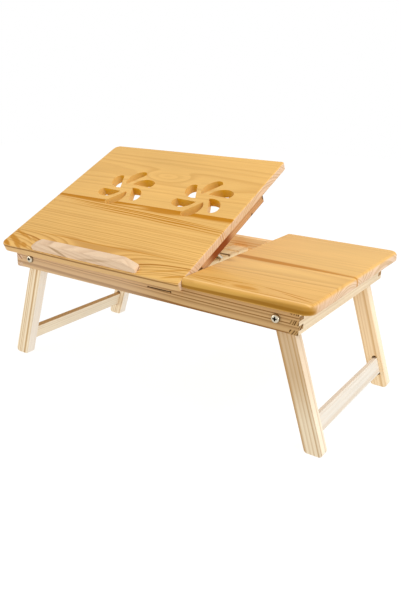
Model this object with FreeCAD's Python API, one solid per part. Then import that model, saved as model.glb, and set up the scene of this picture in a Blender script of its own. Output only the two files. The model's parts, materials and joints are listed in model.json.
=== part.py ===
import FreeCAD, Part
import math
import os

os.makedirs("parts", exist_ok=True)
Vec = FreeCAD.Vector

# Whole table: height under the frame and the slope at which the reading panel stands
floor_to_rail = 172.0
panel_tilt_deg = 24.4
cut_overrun = 1.0
same_place = 0.001
wood_screw_clearance = 0.05

# Frame: four rails joined by fingers at the corners
frame_length = 520.0
frame_depth = 297.0
rail_height = 32.5
rail_thickness = 13.0
finger_count = 5
rail_arris = 1.0

# Narrow slot in the front rail: a saw cut between two drilled holes
slot_length = 43.4
slot_height = 1.4
slot_hole_diameter = 2.8
slot_depth = 9.0
slot_from_panel_end = 47.5
slot_above_rail_bottom = 17.8

# Tops: a fixed top on the right and a tilting panel on the left
top_thickness = 14.5
fixed_end_overhang = 22.0
fixed_front_overhang = 12.5
fixed_rear_overhang = 13.0
tilt_end_overhang = 16.0
tilt_front_overhang = 15.5
tilt_rear_overhang = 11.5
fixed_top_on_frame = 172.0
split_gap = 1.0
panel_gap = 0.2
fixed_corner_radius = 16.0
fixed_upper_edge_radius = 6.0
fixed_lower_edge_radius = 3.0
tilt_outer_corner_radius = 12.0
tilt_inner_corner_radius = 4.0
tilt_edge_radius = 2.5

# Boards of each top, counted from the front, with tongue and groove glue joints
fixed_front_board_width = 160.0
tilt_front_board_width = 50.0
tilt_middle_board_width = 105.5
tongue_thickness = 4.0
tongue_depth = 5.0
tongue_clearance = 0.1

# Hidden dowels
dowel_diameter = 6.0
dowel_clearance = 0.05
top_dowel_in_rail = 10.0
top_dowel_in_board = 8.0
rack_dowel_in_rail = 8.0
rack_dowel_in_bar = 14.0
stop_dowel_in_stop = 9.0
stop_dowel_in_panel = 8.0
dowel_end_gap = 0.5
top_dowel_shares = (0.2, 0.65)
end_dowel_shares = (0.27, 0.73)
rack_dowel_shares = (0.25, 0.75)
stop_dowel_shares = (0.2, 0.8)

# Folding legs
leg_lean_deg = 17.7
leg_width = 27.0
leg_thickness = 17.0
leg_foot_radius = 6.0
leg_arris = 1.5
leg_stop_clearance = 0.1
leg_play = 0.1
pivot_above_rail_bottom = 16.7

# Stretcher slat between each pair of legs, in over-long routed mortises
slat_from_pivot = 162.0
slat_width = 25.0
slat_thickness = 9.0
slat_outward_offset = 2.0
slat_arris = 1.0
slat_tenon = 10.0
mortise_depth = 11.0
mortise_clearance = 0.1

# Leg bolts with pan heads, washers and lock nuts
bolt_diameter = 6.0
bolt_head_diameter = 12.0
bolt_head_height = 3.6
bolt_head_rounding = 2.4
bolt_recess_length = 6.4
bolt_recess_width = 2.0
bolt_recess_depth = 2.4
bolt_recess_core_radius = 2.0
bolt_tail = 1.5
running_clearance = 0.05
washer_diameter = 14.0
washer_thickness = 1.6
nut_sides = 6
nut_across_flats = 10.0
nut_height = 5.0
nut_collar_diameter = 8.6
nut_collar_height = 1.6

# Butt hinges at the front edge of the tilting panel
hinge_length = 43.0
right_hinge_from_panel_end = 38.5
left_hinge_from_rail = 29.5
hinge_leaf_reach = 11.5
hinge_leaf_thickness = 1.0
hinge_barrel_radius = 2.2
hinge_pin_radius = 1.0
hinge_axis_forward = 0.4
hinge_play = 0.2
hinge_relief = 0.4
hinge_pocket_clearance = 0.1
hinge_screw_radius = 1.4
hinge_screw_head_radius = 2.5
hinge_screw_head_depth = 1.2
hinge_screw_length = 9.0
hinge_screw_shares = (0.18, 0.82)
hinge_screw_reach_share = 0.6

# Battens that keep the tilting panel flat
batten_width = 12.0
batten_depth = 12.5
batten_length = 185.0
batten_from_hinge = 45.0
batten_inset = 2.0
batten_rail_clearance = 5.0
batten_arris = 1.0
batten_screw_radius = 1.7
batten_screw_head_radius = 3.4
batten_screw_head_depth = 2.4
batten_screw_length = 20.0
batten_screw_shares = (0.1, 0.5, 0.9)

# Book stop along the panel's front edge
stop_length = 212.0
stop_height = 16.5
stop_thickness = 13.0
stop_setback = 2.0
stop_end_slope = 21.0
stop_nose_height = 7.0
stop_nose_radius = 4.0
stop_shoulder_radius = 14.0
stop_arris = 1.5

# Pinwheel vents cut through the panel: six curved petals round each centre
vent_radius = 50.0
vent_petals = 6
vent_first_petal_deg = 20.0
vent_from_hinge = 181.0
vent_right_from_panel_end = 83.0
vent_spacing = 158.0
petal_tip_share = (0.25, 47.0)
petal_outer_side_shares = ((0.70, 34.5), (1.00, 12.0))
petal_end_shares = ((1.02, 1.0), (0.89, -8.0))
petal_inner_side_share = (0.56, 1.5)

# Notched bar that the prop stands on
rack_width = 30.0
rack_thickness = 13.0
rack_top_above_rail_bottom = 16.0
rack_from_panel_end = 82.5
rack_notch_radius = 4.0
rack_notch_count = 3
rack_notch_pitch = 29.0
rack_first_notch_behind_middle = 42.5

# Wire prop hung under the panel in two wooden blocks
wire_diameter = 5.0
bail_width = 40.0
bail_bend_radius = 5.0
bail_journal = 18.0
bail_from_hinge = 115.0
bail_drop = 8.0
bail_foot_rise = 0.0
block_length = 24.0
block_width = 15.0
block_depth = 13.0
block_arris = 1.0
block_side_clearance = 1.0
block_screw_radius = 1.6
block_screw_head_radius = 3.2
block_screw_head_depth = 2.2
block_screw_length = 20.0
block_screw_shares = (0.15, 0.85)

# Places that follow from the sizes above
lean = math.radians(leg_lean_deg)
tilt = math.radians(panel_tilt_deg)
front_face = -frame_depth / 2
back_face = frame_depth / 2
end_face = frame_length / 2
rail_bottom = floor_to_rail
rail_top = rail_bottom + rail_height
finger_height = rail_height / finger_count
split_x = end_face - fixed_top_on_frame
panel_left = -end_face - tilt_end_overhang
panel_right = split_x - split_gap / 2
fixed_left = split_x + split_gap / 2
fixed_right = end_face + fixed_end_overhang
fixed_front = front_face - fixed_front_overhang
fixed_back = back_face + fixed_rear_overhang
panel_front = front_face - tilt_front_overhang
panel_back = back_face + tilt_rear_overhang
panel_bottom = rail_top + panel_gap
hinge_y = front_face - hinge_axis_forward
hinge_z = rail_top + panel_gap / 2
pivot_z = rail_bottom + pivot_above_rail_bottom
stop_lever = leg_width / 2 / math.cos(lean) + pivot_above_rail_bottom * math.tan(lean)
pivot_x = end_face - rail_thickness - leg_stop_clearance - stop_lever
leg_front_y = front_face + rail_thickness + washer_thickness + leg_play
rack_top = rail_bottom + rack_top_above_rail_bottom
rack_centre = panel_right - rack_from_panel_end
rack_middle_z = rack_top - rack_thickness / 2
first_notch_y = rack_first_notch_behind_middle
left_hinge_x = -end_face + rail_thickness + left_hinge_from_rail
hinge_places = (left_hinge_x, panel_right - right_hinge_from_panel_end)
panel_middle_x = (panel_left + panel_right) / 2
stop_front = panel_front + stop_setback
panel_top = panel_bottom + top_thickness

# The origin lies on the floor, under the middle of the table's overall depth
stop_top_reach = panel_top + stop_height - hinge_z
front_reach = -hinge_y + (hinge_y - stop_front) * math.cos(tilt) + stop_top_reach * math.sin(tilt)
origin_shift = (front_reach - fixed_back) / 2


def box(x0, x1, y0, y1, z0, z1):
    """A box between two corners."""
    return Part.makeBox(x1 - x0, y1 - y0, z1 - z0, Vec(x0, y0, z0))


def cylinder(radius, start, end):
    """A round bar from one point to another."""
    along = end - start
    return Part.makeCylinder(radius, along.Length, start, along)


def screw(start, direction, length, radius, head_radius, head_depth):
    """A countersunk wood screw whose head face lies at the start point."""
    head = Part.makeCone(head_radius, radius, head_depth, start, direction)
    shank = Part.makeCylinder(radius, length, start, direction)
    return head.fuse(shank).removeSplitter()


def screw_hole(start, direction, length, radius, head_radius, head_depth):
    """The hole for a countersunk screw, a little wider and longer than the screw."""
    wide = wood_screw_clearance
    back = start - direction * cut_overrun
    sink = Part.makeCone(head_radius + wide, radius + wide, head_depth, start, direction)
    mouth = Part.makeCylinder(head_radius + wide, cut_overrun, back, direction)
    bore = Part.makeCylinder(radius + wide, length + dowel_end_gap, start, direction)
    return mouth.fuse(sink).fuse(bore)


def dowel_and_hole(start, end):
    """A dowel between two points, and the hole that takes it."""
    direction = (end - start).normalize()
    dowel = cylinder(dowel_diameter / 2, start, end)
    spare = direction * dowel_end_gap
    hole = cylinder(dowel_diameter / 2 + dowel_clearance, start - spare, end + spare)
    return dowel, hole


def rounded_outline(points, radii):
    """A closed flat outline with each corner rounded to its own radius."""
    starts, middles, ends = [], [], []
    count = len(points)
    for i, corner in enumerate(points):
        before = (points[i - 1] - corner).normalize()
        after = (points[(i + 1) % count] - corner).normalize()
        half = before.getAngle(after) / 2
        reach = radii[i] / math.tan(half)
        inward = (before + after).normalize()
        starts.append(corner + before * reach)
        ends.append(corner + after * reach)
        middles.append(corner + inward * (radii[i] / math.sin(half) - radii[i]))
    edges = []
    for i in range(count):
        if radii[i] > 0:
            edges.append(Part.Arc(starts[i], middles[i], ends[i]).toShape())
        following = starts[(i + 1) % count]
        if not ends[i].isEqual(following, same_place):
            edges.append(Part.LineSegment(ends[i], following).toShape())
    return Part.Face(Part.Wire(edges))


def edges_where(shape, test):
    """The edges of a shape whose ends and middle all pass a test."""
    found = []
    for edge in shape.Edges:
        places = [vertex.Point for vertex in edge.Vertexes]
        places.append(edge.CenterOfMass)
        if all(test(place) for place in places):
            found.append(edge)
    return found


def near(value, target):
    """True where two lengths agree to well under any size of the table."""
    return abs(value - target) < same_place


def single(shape):
    """The one solid that a cut or a fuse leaves."""
    return shape.Solids[0] if len(shape.Solids) == 1 else shape


def cut_all(shape, tools):
    """A shape with every tool cut from it."""
    return single(shape.cut(tools)) if tools else shape


def tilted(shape):
    """A piece of the panel, drawn flat, at the slope where the panel stands."""
    return shape.rotated(Vec(0, hinge_y, hinge_z), Vec(1, 0, 0), panel_tilt_deg)


def save(name, solids):
    """Writes one piece, or a group of like pieces, in the table's own frame."""
    shape = solids[0] if len(solids) == 1 else Part.makeCompound(solids)
    shape.translated(Vec(0, origin_shift, 0)).exportStep("parts/" + name + ".step")


def leg_point(side, along, across, y):
    """A point of a leg: along it down from the pivot, across it outwards."""
    x = side * (pivot_x + along * math.sin(lean) + across * math.cos(lean))
    z = pivot_z - along * math.cos(lean) + across * math.sin(lean)
    return Vec(x, y, z)


def hinge_leaf(middle_x, lift, knuckles):
    """A leaf, drawn flat behind the axis, with knuckles over the given stretches of its length."""
    left = middle_x - hinge_length / 2
    inner = hinge_y + hinge_barrel_radius + hinge_relief
    low = hinge_z + lift
    high = low + hinge_leaf_thickness
    leaf = box(left, left + hinge_length, inner, hinge_y + hinge_leaf_reach, low, high)
    for start, end in knuckles:
        barrel = cylinder(hinge_barrel_radius, Vec(start, hinge_y, hinge_z), Vec(end, hinge_y, hinge_z))
        strap = box(start, end, hinge_y, inner + hinge_relief, low, high)
        leaf = leaf.fuse(barrel).fuse(strap)
    bore = hinge_pin_radius + running_clearance
    reach = Vec(hinge_length / 2 + cut_overrun, 0, 0)
    middle = Vec(middle_x, hinge_y, hinge_z)
    return single(leaf.removeSplitter().cut(cylinder(bore, middle - reach, middle + reach)))


def hinge_knuckles(middle_x):
    """The stretches of a hinge that belong to the rail leaf and to the panel leaf."""
    third = hinge_length / 3
    left = middle_x - hinge_length / 2
    right = left + hinge_length
    rail = ((left, left + third), (right - third, right))
    panel = ((left + third + hinge_play, right - third - hinge_play),)
    return rail, panel


def hinge_screw_places(middle_x):
    """Where a leaf's screws stand, in plan."""
    left = middle_x - hinge_length / 2
    y = hinge_y + hinge_leaf_reach * hinge_screw_reach_share
    return [(left + share * hinge_length, y) for share in hinge_screw_shares]


def hinge_pocket(middle_x, upward):
    """The wood cut away for one leaf and for the barrel, in the rail or in the panel."""
    half = hinge_length / 2 + hinge_pocket_clearance
    left, right = middle_x - half, middle_x + half
    rear = hinge_y + hinge_leaf_reach + hinge_pocket_clearance
    deep = hinge_leaf_thickness + hinge_pocket_clearance
    radius = hinge_barrel_radius + hinge_relief
    barrel = cylinder(radius, Vec(left, hinge_y, hinge_z), Vec(right, hinge_y, hinge_z))
    if upward:
        leaf = box(left, right, hinge_y, rear, panel_bottom - cut_overrun, panel_bottom + deep)
    else:
        leaf = box(left, right, hinge_y - radius, rear, rail_top - deep, rail_top + cut_overrun)
    return [leaf, barrel]


def hinge_screws(upward):
    """The screws of both leaves on one side, and their holes."""
    start_z = panel_bottom if upward else rail_top
    direction = Vec(0, 0, 1 if upward else -1)
    sizes = (hinge_screw_length, hinge_screw_radius, hinge_screw_head_radius, hinge_screw_head_depth)
    places = [place for middle in hinge_places for place in hinge_screw_places(middle)]
    screws = [screw(Vec(x, y, start_z), direction, *sizes) for x, y in places]
    holes = [screw_hole(Vec(x, y, start_z), direction, *sizes) for x, y in places]
    return screws, holes


def top_dowels():
    """Dowels that hold the fixed top on its rails, and their holes."""
    span = end_face - fixed_left
    places = []
    for share in top_dowel_shares:
        for y in (front_face + rail_thickness / 2, back_face - rail_thickness / 2):
            places.append((fixed_left + share * span, y))
    for share in end_dowel_shares:
        places.append((end_face - rail_thickness / 2, front_face + share * frame_depth))
    low, high = rail_top - top_dowel_in_rail, rail_top + top_dowel_in_board
    return [dowel_and_hole(Vec(x, y, low), Vec(x, y, high)) for x, y in places]


def rack_dowels():
    """Dowels between the notched bar and the front and back rails, and their holes."""
    left = rack_centre - rack_width / 2
    pairs = []
    for share in rack_dowel_shares:
        x = left + share * rack_width
        for side in (-1, 1):
            inner = side * (back_face - rail_thickness)
            start = Vec(x, inner + side * rack_dowel_in_rail, rack_middle_z)
            end = Vec(x, inner - side * rack_dowel_in_bar, rack_middle_z)
            pairs.append(dowel_and_hole(start, end))
    return pairs


def stop_dowels():
    """Dowels between the book stop and the panel, and their holes."""
    left = panel_middle_x - stop_length / 2
    y = stop_front + stop_thickness / 2
    pairs = []
    for share in stop_dowel_shares:
        x = left + share * stop_length
        low, high = panel_top - stop_dowel_in_panel, panel_top + stop_dowel_in_stop
        pairs.append(dowel_and_hole(Vec(x, y, low), Vec(x, y, high)))
    return pairs


def finger_slots(side, own):
    """Gaps at one end of a rail where the other rail's fingers pass, by finger number."""
    x0, x1 = sorted((side * (end_face - rail_thickness), side * (end_face + cut_overrun)))
    slots = []
    for number in range(own, finger_count, 2):
        low = rail_bottom + number * finger_height
        high = low + finger_height
        for end in (-1, 1):
            y0, y1 = sorted((end * (back_face - rail_thickness), end * (back_face + cut_overrun)))
            slots.append(box(x0, x1, y0, y1, low, high))
    return slots


def bolt_bores():
    """Bores through the front and back rails for the four leg bolts."""
    radius = bolt_diameter / 2 + running_clearance
    reach = back_face + cut_overrun
    return [cylinder(radius, Vec(x, -reach, pivot_z), Vec(x, reach, pivot_z)) for x in (-pivot_x, pivot_x)]


def rail_slot():
    """The cutters of the narrow slot in the front rail."""
    x = panel_right - slot_from_panel_end
    z = rail_bottom + slot_above_rail_bottom
    half, radius = (slot_length - slot_hole_diameter) / 2, slot_hole_diameter / 2
    start, end = front_face - cut_overrun, front_face + slot_depth
    cutters = [box(x - half, x + half, start, end, z - slot_height / 2, z + slot_height / 2)]
    for place in (x - half, x + half):
        cutters.append(cylinder(radius, Vec(place, start, z), Vec(place, end, z)))
    return cutters


def long_rails():
    """The front and back rails, full length, with two fingers at each end."""
    tools = finger_slots(-1, 0) + finger_slots(1, 0) + bolt_bores()
    tools += [hole for dowel, hole in top_dowels() + rack_dowels()]
    front = box(-end_face, end_face, front_face, front_face + rail_thickness, rail_bottom, rail_top)
    back = box(-end_face, end_face, back_face - rail_thickness, back_face, rail_bottom, rail_top)
    front = softened_rail(front, front_face)
    back = softened_rail(back, back_face)
    pockets = hinge_screws(False)[1]
    for middle in hinge_places:
        pockets += hinge_pocket(middle, False)
    save("front_rail", [cut_all(front, tools + pockets + rail_slot())])
    save("back_rail", [cut_all(back, tools)])


def softened_rail(rail, outer_y):
    """A rail with its lower outer arris broken by hand sanding."""
    edges = edges_where(rail, lambda p: near(p.y, outer_y) and near(p.z, rail_bottom))
    return rail.makeFillet(rail_arris, edges)


def end_rails():
    """The left and right rails, with three fingers at each end."""
    for name, side in (("left_rail", -1), ("right_rail", 1)):
        x0, x1 = sorted((side * (end_face - rail_thickness), side * end_face))
        rail = box(x0, x1, front_face, back_face, rail_bottom, rail_top)
        edges = edges_where(rail, lambda p: near(p.x, side * end_face) and near(p.z, rail_bottom))
        rail = rail.makeFillet(rail_arris, edges)
        tools = finger_slots(side, 1) + [hole for dowel, hole in top_dowels()]
        save(name, [cut_all(rail, tools)])


def board_regions(joints, x0, x1, low, high):
    """The space of each board between its glue joints, with its tongue and its groove."""
    middle = (low + high) / 2
    left, right = x0 - cut_overrun, x1 + cut_overrun
    regions = []
    for i in range(len(joints) - 1):
        front, back = joints[i], joints[i + 1]
        region = box(left, right, front, back, low - cut_overrun, high + cut_overrun)
        half = tongue_thickness / 2
        if i < len(joints) - 2:
            region = region.fuse(box(left, right, back, back + tongue_depth, middle - half, middle + half))
        if i > 0:
            wide = half + tongue_clearance
            deep = tongue_depth + tongue_clearance
            region = region.cut(box(left, right, front, front + deep, middle - wide, middle + wide))
        regions.append(region)
    return regions


def fixed_top():
    """The fixed top: two boards with rounded-over outer edges, doweled to the rails."""
    corners = [Vec(fixed_left, fixed_front, rail_top), Vec(fixed_right, fixed_front, rail_top),
               Vec(fixed_right, fixed_back, rail_top), Vec(fixed_left, fixed_back, rail_top)]
    radii = [0, fixed_corner_radius, fixed_corner_radius, 0]
    blank = rounded_outline(corners, radii).extrude(Vec(0, 0, top_thickness))
    high = rail_top + top_thickness
    for level, radius in ((high, fixed_upper_edge_radius), (rail_top, fixed_lower_edge_radius)):
        edges = edges_where(blank, lambda p: near(p.z, level))
        edges = [edge for edge in edges if not near(edge.CenterOfMass.x, fixed_left)]
        blank = blank.makeFillet(radius, edges)
    joints = (fixed_front - cut_overrun, fixed_front + fixed_front_board_width, fixed_back + cut_overrun)
    regions = board_regions(joints, fixed_left, fixed_right, rail_top, high)
    holes = [hole for dowel, hole in top_dowels()]
    for name, region in zip(("fixed_board_front", "fixed_board_rear"), regions):
        save(name, [cut_all(single(blank.common(region)), holes)])


def petal(centre, axis_deg):
    """One curved petal of a vent, as a cutter through the panel."""
    def at(place):
        radius, turn = place
        angle = math.radians(axis_deg + turn)
        return centre + Vec(math.cos(angle), math.sin(angle), 0) * (radius * vent_radius)
    tip = at(petal_tip_share)
    bulge, shoulder = (at(place) for place in petal_outer_side_shares)
    end, heel = (at(place) for place in petal_end_shares)
    arcs = [Part.Arc(tip, bulge, shoulder), Part.Arc(shoulder, end, heel),
            Part.Arc(heel, at(petal_inner_side_share), tip)]
    outline = Part.Face(Part.Wire([arc.toShape() for arc in arcs]))
    return outline.extrude(Vec(0, 0, top_thickness + cut_overrun + cut_overrun))


def vent_cutters():
    """All petals of both vents."""
    right_x = panel_right - vent_right_from_panel_end
    y = hinge_y + vent_from_hinge
    step = 360 / vent_petals
    petals = []
    for x in (right_x - vent_spacing, right_x):
        centre = Vec(x, y, panel_bottom - cut_overrun)
        for number in range(vent_petals):
            petals.append(petal(centre, vent_first_petal_deg + number * step))
    return petals


def batten_sides():
    """The left edge of each batten, by name."""
    left = -end_face + rail_thickness + batten_rail_clearance
    right = panel_right - batten_inset - batten_width
    return (("left_batten", left), ("right_batten", right))


def batten_screw_starts(left):
    """Where a batten's screws stand, on its lower face."""
    low = panel_bottom - batten_depth
    front = hinge_y + batten_from_hinge
    x = left + batten_width / 2
    return [Vec(x, front + share * batten_length, low) for share in batten_screw_shares]


def battens():
    """The two battens and their screws; gives back the screw holes in the panel."""
    up = Vec(0, 0, 1)
    sizes = (batten_screw_length, batten_screw_radius, batten_screw_head_radius, batten_screw_head_depth)
    screws, holes = [], []
    for name, left in batten_sides():
        front = hinge_y + batten_from_hinge
        low = panel_bottom - batten_depth
        batten = box(left, left + batten_width, front, front + batten_length, low, panel_bottom)
        edges = edges_where(batten, lambda p: near(p.z, low))
        batten = batten.makeFillet(batten_arris, edges)
        starts = batten_screw_starts(left)
        own = [screw_hole(start, up, *sizes) for start in starts]
        screws += [tilted(screw(start, up, *sizes)) for start in starts]
        holes += own
        save(name, [tilted(cut_all(batten, own))])
    save("batten_screws", screws)
    return holes


def book_stop():
    """The book stop with sloping ends, and its dowels; gives back the dowel holes in the panel."""
    half = stop_length / 2
    slope = half - stop_end_slope
    profile = ((-half, 0), (half, 0), (half, stop_nose_height), (slope, stop_height),
               (-slope, stop_height), (-half, stop_nose_height))
    corners = [Vec(panel_middle_x + x, stop_front, panel_top + z) for x, z in profile]
    nose, shoulder = stop_nose_radius, stop_shoulder_radius
    stop = rounded_outline(corners, [0, 0, nose, shoulder, shoulder, nose])
    stop = stop.extrude(Vec(0, stop_thickness, 0))
    faces = (stop_front, stop_front + stop_thickness)
    edges = edges_where(stop, lambda p: any(near(p.y, face) for face in faces))
    edges = [edge for edge in edges if not near(edge.CenterOfMass.z, panel_top)]
    stop = stop.makeFillet(stop_arris, edges)
    pairs = stop_dowels()
    holes = [hole for dowel, hole in pairs]
    save("book_stop", [tilted(cut_all(stop, holes))])
    save("book_stop_dowels", [tilted(dowel) for dowel, hole in pairs])
    return holes


def bail_pivot():
    """The prop's pivot under the standing panel, and the place of its foot on the bar."""
    along, down = bail_from_hinge, bail_drop - panel_gap / 2
    y = hinge_y + along * math.cos(tilt) + down * math.sin(tilt)
    z = hinge_z + along * math.sin(tilt) - down * math.cos(tilt)
    foot = Vec(rack_centre, first_notch_y, rack_top + wire_diameter / 2 + bail_foot_rise)
    return Vec(rack_centre, y, z), foot


def prop_bail():
    """The prop: one bent wire with two journals, two legs and a foot."""
    pivot, foot = bail_pivot()
    down = foot - pivot
    half = Vec(bail_width / 2, 0, 0)
    out = Vec(bail_journal, 0, 0)
    corners = [pivot - half - out, pivot - half, pivot - half + down,
               pivot + half + down, pivot + half, pivot + half + out]
    edges, last = [], corners[0]
    for i in range(1, len(corners) - 1):
        before = (corners[i - 1] - corners[i]).normalize()
        after = (corners[i + 1] - corners[i]).normalize()
        start = corners[i] + before * bail_bend_radius
        end = corners[i] + after * bail_bend_radius
        centre = corners[i] + (before + after) * bail_bend_radius
        middle = centre - (before + after).normalize() * bail_bend_radius
        edges.append(Part.LineSegment(last, start).toShape())
        edges.append(Part.Arc(start, middle, end).toShape())
        last = end
    edges.append(Part.LineSegment(last, corners[-1]).toShape())
    section = Part.Wire(Part.Circle(corners[0], Vec(1, 0, 0), wire_diameter / 2).toShape())
    bail = Part.Wire(edges).makePipeShell([section], True, False)
    save("prop_bail", [single(bail)])


def prop_blocks():
    """The blocks that carry the prop's journals, and their screws; gives back the screw holes."""
    up = Vec(0, 0, 1)
    sizes = (block_screw_length, block_screw_radius, block_screw_head_radius, block_screw_head_depth)
    inner = bail_width / 2 + bail_bend_radius + block_side_clearance
    low = panel_bottom - block_depth
    pivot_y = hinge_y + bail_from_hinge
    bore_z = panel_bottom - bail_drop
    radius = wire_diameter / 2 + running_clearance
    screws, holes = [], []
    for name, side in (("prop_block_left", -1), ("prop_block_right", 1)):
        near_x = rack_centre + side * inner
        x0, x1 = sorted((near_x, near_x + side * block_width))
        front = pivot_y - block_length / 2
        block = box(x0, x1, front, front + block_length, low, panel_bottom)
        edges = edges_where(block, lambda p: near(p.z, low))
        block = block.makeFillet(block_arris, edges)
        reach = Vec(side * cut_overrun, 0, 0)
        mouth = Vec(near_x, pivot_y, bore_z)
        bore = cylinder(radius, mouth - reach, mouth + Vec(side * block_width, 0, 0) + reach)
        middle_x = (x0 + x1) / 2
        starts = [Vec(middle_x, front + share * block_length, low) for share in block_screw_shares]
        own = [screw_hole(start, up, *sizes) for start in starts]
        screws += [tilted(screw(start, up, *sizes)) for start in starts]
        holes += own
        save(name, [tilted(cut_all(block, own + [bore]))])
    save("prop_block_screws", screws)
    return holes


def tilting_panel():
    """The tilting panel: three boards with two pinwheel vents, hinge recesses and its hardware."""
    corners = [Vec(panel_left, panel_front, panel_bottom), Vec(panel_right, panel_front, panel_bottom),
               Vec(panel_right, panel_back, panel_bottom), Vec(panel_left, panel_back, panel_bottom)]
    outer, inner = tilt_outer_corner_radius, tilt_inner_corner_radius
    blank = rounded_outline(corners, [outer, inner, inner, outer]).extrude(Vec(0, 0, top_thickness))
    levels = (panel_bottom, panel_top)
    edges = edges_where(blank, lambda p: any(near(p.z, level) for level in levels))
    blank = blank.makeFillet(tilt_edge_radius, edges)
    first = panel_front + tilt_front_board_width
    joints = (panel_front - cut_overrun, first, first + tilt_middle_board_width, panel_back + cut_overrun)
    regions = board_regions(joints, panel_left, panel_right, panel_bottom, panel_top)
    screws, holes = hinge_screws(True)
    save("hinge_panel_screws", [tilted(shape) for shape in screws])
    holes = holes + vent_cutters() + battens() + book_stop() + prop_blocks()
    for middle in hinge_places:
        holes += hinge_pocket(middle, True)
    for name, region in zip(("tilt_board_front", "tilt_board_middle", "tilt_board_rear"), regions):
        save(name, [tilted(cut_all(single(blank.common(region)), holes))])


def hinges():
    """Both hinges: rail leaves, panel leaves, pins and the rail screws."""
    rail_screws, rail_holes = hinge_screws(False)
    panel_holes = hinge_screws(True)[1]
    rail_leaves, panel_leaves, pins = [], [], []
    half_gap = panel_gap / 2
    for middle in hinge_places:
        rail_knuckles, panel_knuckles = hinge_knuckles(middle)
        rail_leaf = hinge_leaf(middle, -half_gap - hinge_leaf_thickness, rail_knuckles)
        panel_leaf = hinge_leaf(middle, half_gap, panel_knuckles)
        rail_leaves.append(cut_all(rail_leaf, rail_holes))
        panel_leaves.append(tilted(cut_all(panel_leaf, panel_holes)))
        reach = Vec(hinge_length / 2, 0, 0)
        axis = Vec(middle, hinge_y, hinge_z)
        pins.append(cylinder(hinge_pin_radius, axis - reach, axis + reach))
    save("hinge_rail_leaves", rail_leaves)
    save("hinge_panel_leaves", panel_leaves)
    save("hinge_pins", pins)
    save("hinge_rail_screws", rail_screws)


def rack_bar():
    """The notched bar between the front and back rails, and its dowels."""
    left = rack_centre - rack_width / 2
    right = left + rack_width
    reach = back_face - rail_thickness
    bar = box(left, right, -reach, reach, rack_top - rack_thickness, rack_top)
    pairs = rack_dowels()
    tools = [hole for dowel, hole in pairs]
    for number in range(rack_notch_count):
        y = first_notch_y + number * rack_notch_pitch
        start, end = Vec(left - cut_overrun, y, rack_top), Vec(right + cut_overrun, y, rack_top)
        tools.append(cylinder(rack_notch_radius, start, end))
    save("rack_bar", [cut_all(bar, tools)])
    save("rack_dowels", [dowel for dowel, hole in pairs])


def leg(side, y):
    """One leg with a round top about its pivot and a foot cut level with the floor."""
    half = leg_width / 2
    foot = [(pivot_z + across * math.sin(lean)) / math.cos(lean) for across in (half, -half)]
    corners = [leg_point(side, -half, -half, y), leg_point(side, -half, half, y),
               leg_point(side, foot[0], half, y), leg_point(side, foot[1], -half, y)]
    outline = rounded_outline(corners, [half, half, leg_foot_radius, leg_foot_radius])
    shape = outline.extrude(Vec(0, leg_thickness, 0))
    faces = (y, y + leg_thickness)
    edges = edges_where(shape, lambda p: any(near(p.y, face) for face in faces))
    shape = shape.makeFillet(leg_arris, edges)
    bore = bolt_diameter / 2 + running_clearance
    reach = Vec(0, cut_overrun, 0)
    start, end = Vec(side * pivot_x, y, pivot_z), Vec(side * pivot_x, y + leg_thickness, pivot_z)
    return shape.cut(cylinder(bore, start - reach, end + reach))


def mortise(side, y, depth):
    """The routed slot in a leg, with round ends above and below the slat."""
    half = slat_thickness / 2 + mortise_clearance
    top = slat_from_pivot - slat_width / 2 - half
    bottom = slat_from_pivot + slat_width / 2 + half
    inner, outer = slat_outward_offset - half, slat_outward_offset + half
    corners = [leg_point(side, top, inner, y), leg_point(side, top, outer, y),
               leg_point(side, bottom, outer, y), leg_point(side, bottom, inner, y)]
    return rounded_outline(corners, [half, half, half, half]).extrude(Vec(0, depth, 0))


def stretcher(side, front, back):
    """The slat between two legs, with its arrises eased."""
    half = slat_thickness / 2
    top = slat_from_pivot - slat_width / 2
    bottom = slat_from_pivot + slat_width / 2
    inner, outer = slat_outward_offset - half, slat_outward_offset + half
    corners = [leg_point(side, top, inner, front), leg_point(side, top, outer, front),
               leg_point(side, bottom, outer, front), leg_point(side, bottom, inner, front)]
    return rounded_outline(corners, [slat_arris] * len(corners)).extrude(Vec(0, back - front, 0))


def leg_pairs():
    """The two folding pairs: front leg, rear leg and stretcher each."""
    front_inner = leg_front_y + leg_thickness
    depth = mortise_depth + cut_overrun
    for label, side in (("left", -1), ("right", 1)):
        front_leg = leg(side, leg_front_y).cut(mortise(side, front_inner - mortise_depth, depth))
        rear_leg = leg(side, -front_inner).cut(mortise(side, -front_inner - cut_overrun, depth))
        slat = stretcher(side, front_inner - slat_tenon, slat_tenon - front_inner)
        save(label + "_front_leg", [single(front_leg)])
        save(label + "_rear_leg", [single(rear_leg)])
        save(label + "_stretcher", [single(slat)])


def leg_bolt(x, side):
    """A bolt with a domed head and a cross recess; side is -1 at the front, 1 at the back."""
    out = Vec(0, side, 0)
    seat = Vec(x, side * back_face, pivot_z)
    head = Part.makeCylinder(bolt_head_diameter / 2, bolt_head_height, seat, out)
    rim = edges_where(head, lambda p: near(p.y, seat.y + side * bolt_head_height))
    head = head.makeFillet(bolt_head_rounding, rim)
    grip = rail_thickness + leg_thickness + leg_play + leg_play + washer_thickness + washer_thickness
    length = grip + nut_height + nut_collar_height + bolt_tail
    bolt = head.fuse(Part.makeCylinder(bolt_diameter / 2, length, seat, -out))
    long, wide = bolt_recess_length / 2, bolt_recess_width / 2
    face = seat.y + side * bolt_head_height
    y0, y1 = sorted((face - side * bolt_recess_depth, face + side * cut_overrun))
    for across, up in ((long, wide), (wide, long)):
        bolt = bolt.cut(box(x - across, x + across, y0, y1, pivot_z - up, pivot_z + up))
    core = cylinder(bolt_recess_core_radius, Vec(x, y0, pivot_z), Vec(x, y1, pivot_z))
    return single(bolt.cut(core))


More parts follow.
